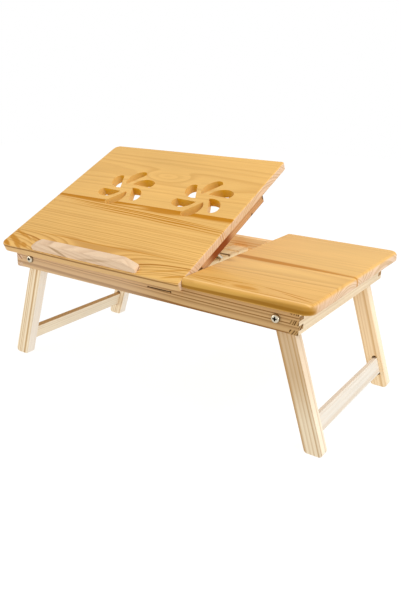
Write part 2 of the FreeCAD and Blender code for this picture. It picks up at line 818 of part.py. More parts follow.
def washer(x, side, inset):
    """A washer whose outer face lies inset from the rail's outer face."""
    start = Vec(x, side * (back_face - inset), pivot_z)
    inward = Vec(0, -side, 0)
    disc = Part.makeCylinder(washer_diameter / 2, washer_thickness, start, inward)
    bore = bolt_diameter / 2 + running_clearance
    return disc.cut(Part.makeCylinder(bore, washer_thickness, start, inward))


def lock_nut(x, side, inset):
    """A hexagonal nut with a round locking collar."""
    start = Vec(x, side * (back_face - inset), pivot_z)
    inward = Vec(0, -side, 0)
    step = 2 * math.pi / nut_sides
    corner_radius = nut_across_flats / 2 / math.cos(step / 2)
    turns = [number * step for number in range(nut_sides)]
    corners = [start + Vec(math.cos(turn), 0, math.sin(turn)) * corner_radius for turn in turns]
    nut = Part.Face(Part.makePolygon(corners + corners[:1])).extrude(inward * nut_height)
    height = nut_height + nut_collar_height
    nut = nut.fuse(Part.makeCylinder(nut_collar_diameter / 2, height, start, inward)).removeSplitter()
    bore = bolt_diameter / 2 + running_clearance
    return single(nut.cut(Part.makeCylinder(bore, height, start, inward)))


def leg_fixings():
    """Bolts, washers and nuts at the four leg pivots."""
    bolts, spacers, backers, nuts = [], [], [], []
    behind_leg = rail_thickness + washer_thickness + leg_thickness + leg_play + leg_play
    for x in (-pivot_x, pivot_x):
        for side in (-1, 1):
            bolts.append(leg_bolt(x, side))
            spacers.append(washer(x, side, rail_thickness))
            backers.append(washer(x, side, behind_leg))
            nuts.append(lock_nut(x, side, behind_leg + washer_thickness))
    save("leg_bolts", bolts)
    save("spacer_washers", spacers)
    save("nut_washers", backers)
    save("lock_nuts", nuts)


long_rails()
end_rails()
fixed_top()
save("top_dowels", [dowel for dowel, hole in top_dowels()])
rack_bar()
tilting_panel()
hinges()
prop_bail()
leg_pairs()
leg_fixings()
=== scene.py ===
"""Dresses a folding laptop table in pine and zinc-plated steel, and sets it on a plain white stage."""
import json
import math
from typing import NamedTuple

import bpy
from mathutils import Euler, Matrix, Vector


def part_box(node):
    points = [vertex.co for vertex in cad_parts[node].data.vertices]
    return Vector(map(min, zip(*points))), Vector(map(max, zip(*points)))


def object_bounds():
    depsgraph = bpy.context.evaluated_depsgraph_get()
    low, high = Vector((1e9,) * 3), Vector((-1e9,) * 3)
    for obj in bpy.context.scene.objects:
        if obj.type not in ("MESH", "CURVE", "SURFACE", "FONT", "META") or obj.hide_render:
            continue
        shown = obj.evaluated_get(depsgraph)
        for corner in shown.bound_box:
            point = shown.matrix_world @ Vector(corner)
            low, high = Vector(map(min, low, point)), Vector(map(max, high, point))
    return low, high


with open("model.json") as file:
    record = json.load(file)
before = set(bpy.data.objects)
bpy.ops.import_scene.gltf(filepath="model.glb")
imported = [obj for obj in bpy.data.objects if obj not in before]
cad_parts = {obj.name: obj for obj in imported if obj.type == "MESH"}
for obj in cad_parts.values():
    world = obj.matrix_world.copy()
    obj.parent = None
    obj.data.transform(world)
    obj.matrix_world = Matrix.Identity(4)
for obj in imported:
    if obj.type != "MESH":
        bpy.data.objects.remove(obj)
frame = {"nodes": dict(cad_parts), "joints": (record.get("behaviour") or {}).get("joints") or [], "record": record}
cad_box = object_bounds()

bl_info = {
    "name": "Folding laptop table",
    "version": (1, 0, 0),
    "blender": (4, 5, 0),
    "location": "View3D > Sidebar > Laptop table",
    "description": "Finishes the pieces of a folding laptop table and sets the stage for it",
    "category": "Object",
}

MM = 0.001

# The photograph's frame in pixels, for the lens
PHOTO_HEIGHT = 601
FOCAL_PIXELS = 642.0
SENSOR_MM = 36.0

# The camera fitted to the photograph: its turns in degrees and its place in metres
CAMERA_YAW, CAMERA_PITCH, CAMERA_ROLL = 34.15, 19.636, 0.809
CAMERA_PLACE = (0.57498, -0.82574, 0.48258)

# The place and width of each lamp, and half the floor's width, in metres
LAMPS = {
    "overhead": ((1.0, -0.1, 1.6), 0.8),
    "side": ((1.7, -0.5, 0.45), 1.0),
    "fill": ((-1.2, -1.2, 0.4), 0.8),
}
FLOOR_HALF = 3.0

# What the floor shows the eye: its own white, and a little grey that takes the table's shadow
FLOOR_GLOW = 0.9
FLOOR_GREY = (0.2, 0.2, 0.2, 1)
WHITE = (1, 1, 1, 1)

# Inputs and output of a colour mix node
MIX_A, MIX_B, MIX_RESULT = 6, 7, 2

# Inputs of a range node
FROM_LOW, FROM_HIGH, TO_LOW, TO_HIGH = 1, 2, 3, 4

# Half height of a streak that goes right through, and half size of one all over a leg, in millimetres
RIGHT_THROUGH = 600.0
ALL_OVER = 400.0

# The vents' middles along the panel and behind its hinge, and the reach of their painted shade and light, in
# millimetres
VENTS_ALONG = (-153.5, 4.5)
VENTS_BEHIND = 181
VENT_REACH = 100

# Ways that a side can face, in a log's own frame; the corner lies between front and right
TO_FRONT = (0.0, -1.0, 0.0)
TO_CORNER = (0.34, -0.94, 0.0)
TO_RIGHT = (1.0, 0.0, 0.0)
TO_LEFT = (-1.0, 0.0, 0.0)
TO_TOP = (0.0, 0.0, 1.0)

# How far end grain reaches into a piece
END_REACH = 15 * MM

# How much patterns are drawn out along the grain
RING_STRETCH = (0.2, 1, 1)
FIBRE_STRETCH = (0.02, 1, 1)
MOTTLE_STRETCH = (0.3, 1, 1)

# How far runs of good and bad years push the rings apart, in rings, and how often such runs change
UNEVEN_YEARS = 2.6
UNEVEN_RATE = 0.4

# Shares of a year over which latewood darkens, and over which it breaks off
AUTUMN_START, AUTUMN_END = 0.3, 0.85
WINTER_START, WINTER_END = 0.86, 1.0

# Strength of the poorest year's line, and of the lines on cut ends
POOR_YEAR = 0.2
END_LINE_STRENGTH = 2.2

# How square to the grain a face is cut where end grain starts to show, and where it shows in full
CUT_START, CUT_FULL = 0.6, 0.95

# Part of the noise that counts, and the darkest and palest tone that fibres and mottle give the wood
NOISE_LOW, NOISE_HIGH = 0.2, 0.8
FIBRE_DARK, FIBRE_PALE = 0.92, 1.06
MOTTLE_DARK, MOTTLE_PALE = 0.9, 1.08

# Relief of the fibres as a share of the latewood's
FIBRE_RELIEF = 0.5

# Share of a streak that has its full strength, and how squarely a tinted side faces at first and in full
STREAK_CORE = 0.45
FACING_START, FACING_FULL = 0.3, 0.9

# Roughness and weight of varnish of each kind of finish
VARNISHED, SEALED, BARE = (0.42, 0.15), (0.5, 0.08), (0.6, 0.0)

# Gloss of bare fibres, roughness of varnish, share of roughness left on latewood, and strength of the relief
FIBRE_GLOSS = 0.02
VARNISH_ROUGHNESS = 0.12
LATEWOOD_SMOOTHING = 0.8
RELIEF_STRENGTH = 0.35

# Width of the steel's drawing marks, its smoothest and roughest part, and how far off a neighbour its painted
# shade reaches
MARK_WIDTH = 0.6 * MM
STEEL_SMOOTH, STEEL_ROUGH = 0.2, 0.34
SHADE_REACH = 4 * MM


def linear(hex_colour):
    """An sRGB hex colour as linear red, green and blue."""
    shares = [int(hex_colour[i:i + 2], 16) / 255 for i in (1, 3, 5)]
    return tuple(s / 12.92 if s <= 0.04045 else ((s + 0.055) / 1.055) ** 2.4 for s in shares)


def colour(name, description, hex_colour):
    """A colour that the sidebar shows."""
    return bpy.props.FloatVectorProperty(
        name=name, description=description, subtype="COLOR", size=3, min=0, max=1, default=linear(hex_colour))


def length(name, description, millimetres):
    """A length that the sidebar shows."""
    return bpy.props.FloatProperty(
        name=name, description=description, unit="LENGTH", precision=5, min=0, default=millimetres * MM)


def share(name, description, value):
    """A share from nothing to all that the sidebar shows."""
    return bpy.props.FloatProperty(
        name=name, description=description, subtype="FACTOR", min=0, max=1, default=value)


class TableColours(bpy.types.PropertyGroup):
    """Colours of the woods and the steel."""
    top_early: colour("Top earlywood", "Pale wood of the varnished tops", "#EBBA6C")
    top_late: colour("Top latewood", "Dark lines of the varnished tops", "#B5782A")
    top_heart: colour("Top heartwood", "Broad dark bands of the varnished tops", "#C07C04")
    top_end: colour("Top end grain", "Sanded end grain of the tops", "#E6C6A6")
    top_end_line: colour("Top end lines", "Year rings on the ends of the tops", "#D5B28A")
    # Painted shade and a painted dark reflection on the fixed top's front edge, which faces front and down
    top_edge_shade: colour("Top edge", "Darkened front edge of the fixed top", "#D8A650")
    top_edge_shade_line: colour("Top edge line", "Darkest line of the fixed top's front edge", "#9E6A16")
    # Painted highlight along the fixed top's rounded arris
    top_arris_highlight: colour("Top arris", "Pale rounded arris above the fixed top's front edge", "#FFD494")
    panel_edge: colour("Panel edge", "Bare front edge of the panel", "#DDB47C")
    # Painted shade: the dark line just under the panel's front arris
    panel_arris_shade: colour("Panel arris", "Dark line along the panel's front edge", "#8A5A1E")
    # Painted shade and painted light on the vents' walls: darker on walls facing the front, paler on walls facing
    # the right
    vent_front_shade: colour("Vent walls to the front", "Sawn walls along the grain", "#D89E08")
    vent_end_light: colour("Vent walls to the ends", "Sawn walls across the grain", "#E6B664")
    rail_early: colour("Rail earlywood", "Pale wood of the frame", "#D6AE78")
    rail_late: colour("Rail latewood", "Dark lines of the frame", "#936430")
    rail_end: colour("Rail end grain", "End grain in the finger joints", "#C79E66")
    # Painted light: the back rail's own golden wood, made paler than the other rails' to make up for the shade
    # under the tops
    back_early: colour("Back rail earlywood", "Pale wood of the back rail", "#FFD9A0")
    back_late: colour("Back rail latewood", "Dark lines of the back rail", "#E8A860")
    leg_early: colour("Leg earlywood", "Pale wood of the legs", "#FAE7C6")
    leg_late: colour("Leg latewood", "Dark lines of the legs", "#BA8A48")
    leg_end: colour("Leg end grain", "End grain of the legs", "#D9B684")
    # Painted light on the legs' sides that face right
    leg_side_light: colour("Leg side", "Bleached outer side of the legs", "#FFF5E6")
    # The notched bar's own pale cream, made paler still as painted light for the shade under the panel
    bar_early: colour("Bar earlywood", "Pale wood of the notched bar", "#FFE9BE")
    # Painted light: the left slat is a paler copy of the pale leg wood, to make up for the shade under the table
    left_slat_early: colour("Left slat earlywood", "Pale wood of the left slat", "#FFF1D6")
    stop_early: colour("Stop earlywood", "Pale wood of the book stop", "#EBCDAC")
    stop_late: colour("Stop latewood", "Lines of the book stop", "#B58A66")
    stop_knot: colour("Stop knot", "Dark streak on the book stop", "#9C7648")
    slat_early: colour("Right slat earlywood", "Pale wood of the right slat", "#E6DED1")
    slat_late: colour("Right slat latewood", "Lines of the right slat", "#CBAA80")
    batten_early: colour("Batten earlywood", "Pale wood under the panel", "#CD9F70")
    batten_late: colour("Batten latewood", "Dark lines under the panel", "#9A5420")
    # Painted shade: the red-brown stretch on the right batten's side stands for shade under the panel
    batten_shade: colour("Batten heartwood", "Red-brown stretch of the right batten", "#82380C")
    # The end lines' colour is also lent to painted shade in the rail's slot and in a notch of the bar
    end_line: colour("End lines", "Dark year rings on cut ends", "#5A3A10")
    steel: colour("Zinc-plated steel", "Bolts, hinges, screws and prop", "#C9BFAA")


class TableGrain(bpy.types.PropertyGroup):
    """Sizes of the grain."""
    wander: length("Ring wander", "Length over which growth rings swell and shrink", 55)
    fibre: length("Fibre width", "Width of the fibre streaks", 1.1)
    mottle: length("Mottle", "Size of the slow changes of tone", 70)
    relief: length("Relief", "How far latewood stands proud under the varnish", 0.12)


class TableLight(bpy.types.PropertyGroup):
    """Strength of the studio light."""
    room: share("Room", "Light that comes from all round", 0.6)
    floor: share("Floor", "Light that the white floor sends back up", 0.85)
    overhead: bpy.props.FloatProperty(
        name="Overhead", description="Soft lamp above the table", unit="POWER", min=0, default=14.0)
    side: bpy.props.FloatProperty(
        name="Side", description="Low lamp at the table's right end", unit="POWER", min=0, default=6.0)
    fill: bpy.props.FloatProperty(
        name="Fill", description="Low lamp at the front left", unit="POWER", min=0, default=6.0)


def joint_named(name):
    """A joint of the frame."""
    return next(joint for joint in frame["joints"] if joint["name"] == name)


# The slopes of the panel and the legs at rest follow from their joints' ranges
PANEL_TILT = -math.radians(joint_named("panel_tilt")["range_deg"][0])
LEG_LEAN = math.radians(joint_named("right_leg_fold")["range_deg"][1]) - math.pi / 2

# Turns that lay a log's length along each kind of piece
ALONG = Matrix.Identity(3)
ACROSS = Matrix.Rotation(math.pi / 2, 3, "Z")
PANEL_ALONG = Matrix.Rotation(PANEL_TILT, 3, "X")
PANEL_ACROSS = PANEL_ALONG @ ACROSS
RIGHT_LEG = Matrix.Rotation(math.pi / 2 - LEG_LEAN, 3, "Y")
LEFT_LEG = Matrix.Rotation(math.pi / 2 + LEG_LEAN, 3, "Y")


class Streak(NamedTuple):
    """A stretch of another tone: its place and half sizes in millimetres, its slant and dive in degrees.
    One with a facing only tints the sides that face that way, one without a tint takes the heartwood's."""
    along: float
    across: float
    half_length: float
    half_width: float
    strength: float
    slant: float = 0.0
    dive: float = 0.0
    up: float = 0.0
    half_height: float = RIGHT_THROUGH
    facing: tuple = ()
    tint: tuple = ()


class Eye(NamedTuple):
    """A swelling of the log that the saw opens as an oval: place, half sizes and height in millimetres."""
    along: float = 0.0
    across: float = 0.0
    half_length: float = 40.0
    half_width: float = 12.0
    height: float = 0.0


class Log(NamedTuple):
    """Where a piece was sawn from its log, in millimetres and degrees."""
    turn: Matrix
    pith_across: float
    pith_up: float
    slant: float = 0.0
    dive: float = 0.0
    ring: float = 4.0
    wander: float = 4.0
    seed: float = 0.0
    contrast: float = 1.0
    eye: Eye = Eye()
    streaks: tuple = ()


class Finish(NamedTuple):
    """Colours and gloss of a wood."""
    early: tuple
    late: tuple
    end: tuple
    end_line: tuple
    heart: tuple
    roughness: float
    varnish: float


def add_node(tree, kind, inputs=None, **settings):
    """Adds a node, sets its properties, then fills its inputs with values or links."""
    node = tree.nodes.new(kind)
    for name, value in settings.items():
        setattr(node, name, value)
    for key, value in (inputs or {}).items():
        if isinstance(value, bpy.types.Node):
            value = value.outputs[0]
        if isinstance(value, bpy.types.NodeSocket):
            tree.links.new(value, node.inputs[key])
        else:
            node.inputs[key].default_value = value
    return node


def year_rings(tree, log, point, bent):
    """Dark latewood lines, one a year, round the pith and round the eye that the saw opens."""
    section = add_node(tree, "ShaderNodeVectorMath", {0: bent, 1: (0, 1, 1)}, operation="MULTIPLY")
    radius = add_node(tree, "ShaderNodeVectorMath", {0: section}, operation="LENGTH")
    offset = add_node(tree, "ShaderNodeVectorMath", {0: point, 1: log["Eye centre"]}, operation="SUBTRACT")
    within = add_node(tree, "ShaderNodeVectorMath", {0: offset, 1: log["Eye size"]}, operation="DIVIDE")
    square = add_node(tree, "ShaderNodeVectorMath", {0: within, 1: within}, operation="DOT_PRODUCT")
    fade = add_node(tree, "ShaderNodeMath", {0: square.outputs["Value"], 1: -1}, operation="MULTIPLY")
    swelling = add_node(tree, "ShaderNodeMath", {0: fade}, operation="EXPONENT")
    grown = add_node(tree, "ShaderNodeMath", {
        0: swelling, 1: log["Eye height"], 2: radius.outputs["Value"]}, operation="MULTIPLY_ADD")

    # One pale and one dark season a year, with good and bad years
    rings = add_node(tree, "ShaderNodeMath", {0: grown, 1: log["Ring width"]}, operation="DIVIDE")
    uneven = add_node(tree, "ShaderNodeTexNoise", {"W": rings, "Scale": UNEVEN_RATE, "Detail": 1.0},
                      noise_dimensions="1D")
    years = add_node(tree, "ShaderNodeMath", {0: uneven.outputs[0], 1: UNEVEN_YEARS, 2: rings},
                     operation="MULTIPLY_ADD")
    year = add_node(tree, "ShaderNodeMath", {0: years}, operation="FLOOR")
    season = add_node(tree, "ShaderNodeMath", {0: years}, operation="FRACT")
    autumn = add_node(tree, "ShaderNodeMapRange", {
        0: season, FROM_LOW: AUTUMN_START, FROM_HIGH: AUTUMN_END}, interpolation_type="SMOOTHSTEP")
    winter = add_node(tree, "ShaderNodeMapRange", {
        0: season, FROM_LOW: WINTER_START, FROM_HIGH: WINTER_END, TO_LOW: 1.0, TO_HIGH: 0.0},
        interpolation_type="SMOOTHSTEP")
    line = add_node(tree, "ShaderNodeMath", {0: autumn, 1: winter}, operation="MULTIPLY")
    luck = add_node(tree, "ShaderNodeTexWhiteNoise", {"W": year}, noise_dimensions="1D")
    fortune = add_node(tree, "ShaderNodeMapRange", {0: luck.outputs["Value"], TO_LOW: POOR_YEAR})
    return add_node(tree, "ShaderNodeMath", {0: line, 1: fortune}, operation="MULTIPLY")


def cut_end(tree, log, point, normal):
    """Where a face is a cut end: square to the grain and near the end of the piece."""
    axis = add_node(tree, "ShaderNodeVectorRotate", {"Vector": (1, 0, 0), "Rotation": log["Turn"]},
                    rotation_type="EULER_XYZ")
    facing = add_node(tree, "ShaderNodeVectorMath", {0: axis, 1: normal}, operation="DOT_PRODUCT")
    square_on = add_node(tree, "ShaderNodeMath", {0: facing.outputs["Value"]}, operation="ABSOLUTE")
    cut = add_node(tree, "ShaderNodeMapRange", {0: square_on, FROM_LOW: CUT_START, FROM_HIGH: CUT_FULL})
    apart = add_node(tree, "ShaderNodeSeparateXYZ", {0: point})
    along = add_node(tree, "ShaderNodeMath", {0: apart.outputs["X"]}, operation="ABSOLUTE")
    at_end = add_node(tree, "ShaderNodeMath", {0: along, 1: log["End start"]}, operation="GREATER_THAN")
    return add_node(tree, "ShaderNodeMath", {0: cut, 1: at_end}, operation="MULTIPLY")


def pine_figure():
    """Growth rings and fibres of a pine log, as a node group that every wooden piece is sawn from."""
    grain = bpy.context.scene.laptop_table_grain
    tree = bpy.data.node_groups.new("pine_figure", "ShaderNodeTree")
    kinds = {"Vector": ("Pith", "Turn", "Eye centre", "Eye size"),
             "Float": ("Eye height", "Ring width", "Wander", "Seed", "Contrast", "End start"),
             "Color": ("Earlywood", "Latewood", "End grain", "End lines")}
    for kind, names in kinds.items():
        for name in names:
            tree.interface.new_socket(name, in_out="INPUT", socket_type="NodeSocket" + kind)
    for name, kind in (("Colour", "Color"), ("Relief", "Float"), ("Swayed", "Vector")):
        tree.interface.new_socket(name, in_out="OUTPUT", socket_type="NodeSocket" + kind)
    log = add_node(tree, "NodeGroupInput").outputs
    surface = add_node(tree, "ShaderNodeTexCoord")

    # Points in the log's own frame, with the pith along X, and how far the grain sways there
    point = add_node(tree, "ShaderNodeMapping", {
        "Vector": surface.outputs["Object"], "Location": log["Pith"], "Rotation": log["Turn"]},
        vector_type="TEXTURE")
    slow = add_node(tree, "ShaderNodeVectorMath", {0: point, 1: RING_STRETCH}, operation="MULTIPLY")
    noise = add_node(tree, "ShaderNodeTexNoise", {
        "Vector": slow, "W": log["Seed"], "Scale": 1 / grain.wander, "Detail": 2.0}, noise_dimensions="4D")
    sway = add_node(tree, "ShaderNodeVectorMath", {0: noise.outputs["Color"], 1: (0.5, 0.5, 0.5)},
                    operation="SUBTRACT")
    bent = add_node(tree, "ShaderNodeVectorMath", {0: sway, 1: log["Wander"], 2: point},
                    operation="MULTIPLY_ADD")
    swayed = add_node(tree, "ShaderNodeVectorMath", {
        0: sway, 1: log["Wander"], 2: surface.outputs["Object"]}, operation="MULTIPLY_ADD")

    # Rings show as long lines on the faces and as short dark lines on cut ends
    latewood = year_rings(tree, log, point, bent)
    strength = add_node(tree, "ShaderNodeMath", {0: latewood, 1: log["Contrast"]}, operation="MULTIPLY",
                        use_clamp=True)
    wood = add_node(tree, "ShaderNodeMix", {0: strength, MIX_A: log["Earlywood"], MIX_B: log["Latewood"]},
                    data_type="RGBA")
    dark = add_node(tree, "ShaderNodeMath", {0: latewood, 1: END_LINE_STRENGTH}, operation="MULTIPLY",
                    use_clamp=True)
    ends = add_node(tree, "ShaderNodeMix", {0: dark, MIX_A: log["End grain"], MIX_B: log["End lines"]},
                    data_type="RGBA")
    face = add_node(tree, "ShaderNodeMix", {
        0: cut_end(tree, log, point, surface.outputs["Normal"]), MIX_A: wood.outputs[MIX_RESULT],
        MIX_B: ends.outputs[MIX_RESULT]}, data_type="RGBA")

    # Real fibres are too fine to show here, so the streaks are drawn a few fibres wide
    fine = add_node(tree, "ShaderNodeVectorMath", {0: point, 1: FIBRE_STRETCH}, operation="MULTIPLY")
    fibre = add_node(tree, "ShaderNodeTexNoise", {"Vector": fine, "Scale": 1 / grain.fibre, "Detail": 2.0})
    tone = add_node(tree, "ShaderNodeMapRange", {
        0: fibre.outputs[0], FROM_LOW: NOISE_LOW, FROM_HIGH: NOISE_HIGH, TO_LOW: FIBRE_DARK,
        TO_HIGH: FIBRE_PALE})
    broad = add_node(tree, "ShaderNodeVectorMath", {0: point, 1: MOTTLE_STRETCH}, operation="MULTIPLY")
    mottle = add_node(tree, "ShaderNodeTexNoise", {
        "Vector": broad, "W": log["Seed"], "Scale": 1 / grain.mottle}, noise_dimensions="4D")
    slow_tone = add_node(tree, "ShaderNodeMapRange", {
        0: mottle.outputs[0], FROM_LOW: NOISE_LOW, FROM_HIGH: NOISE_HIGH, TO_LOW: MOTTLE_DARK,
        TO_HIGH: MOTTLE_PALE})
    shade = add_node(tree, "ShaderNodeMath", {0: tone, 1: slow_tone}, operation="MULTIPLY")
    shaded = add_node(tree, "ShaderNodeVectorMath", {0: face.outputs[MIX_RESULT], 1: shade},
                      operation="MULTIPLY")
    relief = add_node(tree, "ShaderNodeMath", {0: fibre.outputs[0], 1: FIBRE_RELIEF, 2: strength},
                      operation="MULTIPLY_ADD")
    add_node(tree, "NodeGroupOutput", {"Colour": shaded, "Relief": relief, "Swayed": swayed})
    return tree


def streaked(tree, board, log, finish, origin):
    """A board's colour with its log's streaks laid over it, in their order."""
    wood = board.outputs["Colour"]
    for streak in log.streaks:
        place = origin + log.turn @ Vector((streak.along, streak.across, streak.up)) * MM
        lie = log.turn @ Euler((0, math.radians(streak.dive), math.radians(streak.slant))).to_matrix()
        within = add_node(tree, "ShaderNodeMapping", {
            "Vector": board.outputs["Swayed"], "Location": place, "Rotation": lie.to_euler(),
            "Scale": Vector((streak.half_length, streak.half_width, streak.half_height)) * MM},
            vector_type="TEXTURE")
        spread = add_node(tree, "ShaderNodeVectorMath", {0: within}, operation="LENGTH")
        mask = add_node(tree, "ShaderNodeMapRange", {
            0: spread.outputs["Value"], FROM_LOW: STREAK_CORE, TO_LOW: streak.strength, TO_HIGH: 0.0},
            interpolation_type="SMOOTHSTEP")
        if streak.facing:
            surface = add_node(tree, "ShaderNodeTexCoord")
            toward = add_node(tree, "ShaderNodeVectorMath", {
                0: surface.outputs["Normal"], 1: log.turn @ Vector(streak.facing)}, operation="DOT_PRODUCT")
            turned = add_node(tree, "ShaderNodeMapRange", {
                0: toward.outputs["Value"], FROM_LOW: FACING_START, FROM_HIGH: FACING_FULL})
            mask = add_node(tree, "ShaderNodeMath", {0: mask, 1: turned}, operation="MULTIPLY")
        tinted = add_node(tree, "ShaderNodeMix", {
            0: mask, MIX_A: wood, MIX_B: (*(streak.tint or finish.heart), 1)}, data_type="RGBA")
        wood = tinted.outputs[MIX_RESULT]
    return wood


def pine(node, log, finish, origin=None):
    """Pine sawn from a log and planed: pale earlywood, dark latewood lines that run with the grain, and
    ring ends on the cut faces; varnish adds a thin clear gloss over it. Without an origin, the log's places
    are measured from the middle of the piece."""
    material = bpy.data.materials.new("pine_" + node)
    material.use_nodes = True
    tree = material.node_tree
    figure = bpy.data.node_groups.get("pine_figure") or pine_figure()
    low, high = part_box(node)
    centre = (low + high) / 2
    origin = centre if origin is None else origin
    axis = log.turn @ Vector((1, 0, 0))
    reach = sum(abs(part) * half for part, half in zip(axis, (high - low) / 2))
    middle = axis.dot(centre - origin)
    turn = log.turn @ Euler((0, math.radians(log.dive), math.radians(log.slant))).to_matrix()
    pith = origin + log.turn @ (Vector((0, log.pith_across, log.pith_up)) * MM + Vector((middle, 0, 0)))
    eye = origin + log.turn @ Vector((log.eye.along, log.eye.across, 0)) * MM
    board = add_node(tree, "ShaderNodeGroup", {
        "Pith": pith, "Turn": turn.to_euler(), "Eye centre": turn.inverted() @ (eye - pith),
        "Eye size": Vector((log.eye.half_length, log.eye.half_width, RIGHT_THROUGH)) * MM,
        "Eye height": log.eye.height * MM, "Ring width": log.ring * MM, "Wander": log.wander * MM,
        "Seed": log.seed, "Contrast": log.contrast, "End start": reach - END_REACH,
        "Earlywood": (*finish.early, 1), "Latewood": (*finish.late, 1), "End grain": (*finish.end, 1),
        "End lines": (*finish.end_line, 1)}, node_tree=figure)
    matt = add_node(tree, "ShaderNodeMapRange", {
        0: board.outputs["Relief"], TO_LOW: finish.roughness,
        TO_HIGH: finish.roughness * LATEWOOD_SMOOTHING})
    bump = add_node(tree, "ShaderNodeBump", {
        "Height": board.outputs["Relief"], "Strength": RELIEF_STRENGTH,
        "Distance": bpy.context.scene.laptop_table_grain.relief})
    shader = tree.nodes["Principled BSDF"]
    tree.links.new(streaked(tree, board, log, finish, origin), shader.inputs["Base Color"])
    tree.links.new(matt.outputs[0], shader.inputs["Roughness"])
    tree.links.new(bump.outputs[0], shader.inputs["Normal"])
    shader.inputs["Specular IOR Level"].default_value = FIBRE_GLOSS
    shader.inputs["Coat Weight"].default_value = finish.varnish
    shader.inputs["Coat Roughness"].default_value = VARNISH_ROUGHNESS
    wear(node, material)


def zinc_steel():
    """Bright zinc-plated steel: a pale mirror softened by fine drawing marks, with painted shade darkening its
    colour where parts hide it.
    """
    material = bpy.data.materials.get("zinc_plated_steel")
    if material:
        return material
    colours = bpy.context.scene.laptop_table_colours
    material = bpy.data.materials.new("zinc_plated_steel")
    material.use_nodes = True
    tree = material.node_tree
    shader = tree.nodes["Principled BSDF"]
    surface = add_node(tree, "ShaderNodeTexCoord")
    marks = add_node(tree, "ShaderNodeTexNoise", {
        "Vector": surface.outputs["Object"], "Scale": 1 / MARK_WIDTH, "Detail": 3.0})
    matt = add_node(tree, "ShaderNodeMapRange", {
        0: marks.outputs[0], FROM_LOW: 0.3, FROM_HIGH: 0.7, TO_LOW: STEEL_SMOOTH, TO_HIGH: STEEL_ROUGH})
    # Painted shade: the plate's colour darkens where nearby parts hide it, as in the bolts' recesses
    crevice = add_node(tree, "ShaderNodeAmbientOcclusion", {"Distance": SHADE_REACH}, samples=8)
    crevice_shade = add_node(tree, "ShaderNodeMapRange", {
        0: crevice.outputs["AO"], FROM_LOW: 0.5, FROM_HIGH: 0.95, TO_LOW: 0.02, TO_HIGH: 1.0})
    plate = add_node(tree, "ShaderNodeVectorMath", {0: (*colours.steel,), 1: crevice_shade}, operation="MULTIPLY")
    tree.links.new(plate.outputs[0], shader.inputs["Base Color"])
    tree.links.new(matt.outputs[0], shader.inputs["Roughness"])
    shader.inputs["Metallic"].default_value = 1.0
    return material


def wear(node, material):
    """Gives a CAD node its finish."""
    for slot in frame["nodes"][node].material_slots:
        slot.material = material


def vent_shade_and_light(colours):
    """Golden wood on the two vents' walls: painted shade on the walls that face the front, along the grain, and
    painted light on those that face the right, across it.
    """
    walls = ((TO_FRONT, colours.vent_front_shade), (TO_RIGHT, colours.vent_end_light))
    return tuple(Streak(along, VENTS_BEHIND, VENT_REACH, VENT_REACH, 0.85, facing=facing, tint=tint)
                 for along in VENTS_ALONG for facing, tint in walls)


def panel_front_marks(colours):
    """Dark figure in the panel's left corner, a fan of lines in the right one, and the bare front edge with a line
    of painted shade under its arris.
    """
    left_corner = (
        Streak(-255, 2, 40, 6, 0.8, slant=-24), Streak(-225, -6, 14, 5, 0.7, slant=-24),
        Streak(-240, 14, 30, 2.5, 0.6, slant=-22), Streak(-212, 9, 24, 2, 0.5, slant=-18),
        Streak(-266, -8, 20, 5, 0.9, slant=-24), Streak(-262, 20, 30, 2.5, 0.7, slant=-22),
        Streak(-236, -11, 18, 3, 0.7, slant=-22))
    joint_line = Streak(-90, 30, 220, 1.6, 0.6, slant=0.5)
    right_fan = (Streak(60, 8, 45, 2, 0.6, slant=20), Streak(75, -2, 30, 3, 0.6, slant=24))
    edge = Streak(-92, -15, 400, 8, 0.85, up=5, half_height=14, facing=TO_FRONT, tint=colours.panel_edge)
    # Painted shade in a line just below the panel's front arris
    arris = Streak(-92, -15, 400, 5, 0.8, up=12.4, half_height=2.2, facing=TO_FRONT,
                   tint=colours.panel_arris_shade)
    return (*left_corner, joint_line, *right_fan, edge, arris)


def panel_middle_marks():
    """A dark band of heartwood along the panel's rear joint, and fine lines in front of it."""
    band = (Streak(50, 138, 140, 12, 1.0, facing=TO_TOP), Streak(-35, 133, 65, 10, 0.9, facing=TO_TOP),
            Streak(-180, 139, 190, 8, 1.0, facing=TO_TOP))
    lines = (Streak(-150, 131, 170, 1.6, 0.9, slant=-2), Streak(-95, 122, 230, 1.6, 1.0, slant=-3),
             Streak(-60, 117, 230, 1.5, 0.9, slant=-3), Streak(-50, 112, 230, 1.7, 1.0, slant=-3.2),
             Streak(-40, 106, 230, 1.5, 0.8, slant=-3.2))
    return band + lines


def fixed_front_marks(colours):
    """A dark band along the fixed top's joint, lines round the eye, and painted shade on the front edge with a
    painted highlight on its arris.
    """
    wash = Streak(180, 20, 300, 70, 0.15)
    band = (Streak(130, 134, 170, 11, 1.0), Streak(240, 132, 90, 4, 0.8))
    eye = Streak(178, 6, 26, 7, 0.6)
    lines = (Streak(140, 18, 60, 2.0, 0.8, slant=5), Streak(232, 17, 56, 2.0, 0.75, slant=-8),
             Streak(252, 7, 34, 2.0, 0.85, slant=-14), Streak(122, 3, 40, 2.0, 0.8, slant=-6),
             Streak(120, 11, 46, 1.8, 0.7, slant=-2), Streak(228, -3.4, 66, 1.5, 0.7, facing=TO_TOP))
    # Painted shade and a painted dark reflection on the front edge, darkest low down and at the right corner
    edge = Streak(184, -12, 300, 30, 1.0, up=4, half_height=11, facing=TO_CORNER, tint=colours.top_edge_shade)
    low_line = Streak(184, -12, 300, 30, 0.85, up=4, half_height=3.4, facing=TO_CORNER,
                      tint=colours.top_edge_shade_line)
    corner = Streak(272, -12, 110, 30, 0.6, up=6, half_height=8, facing=TO_CORNER,
                    tint=colours.top_edge_shade_line)
    # A painted highlight on the rounded arris above the front edge
    arris = Streak(184, -7, 200, 1.6, 0.5, facing=TO_TOP, tint=colours.top_arris_highlight)
    return (wash, *band, eye, *lines, edge, low_line, corner, arris)


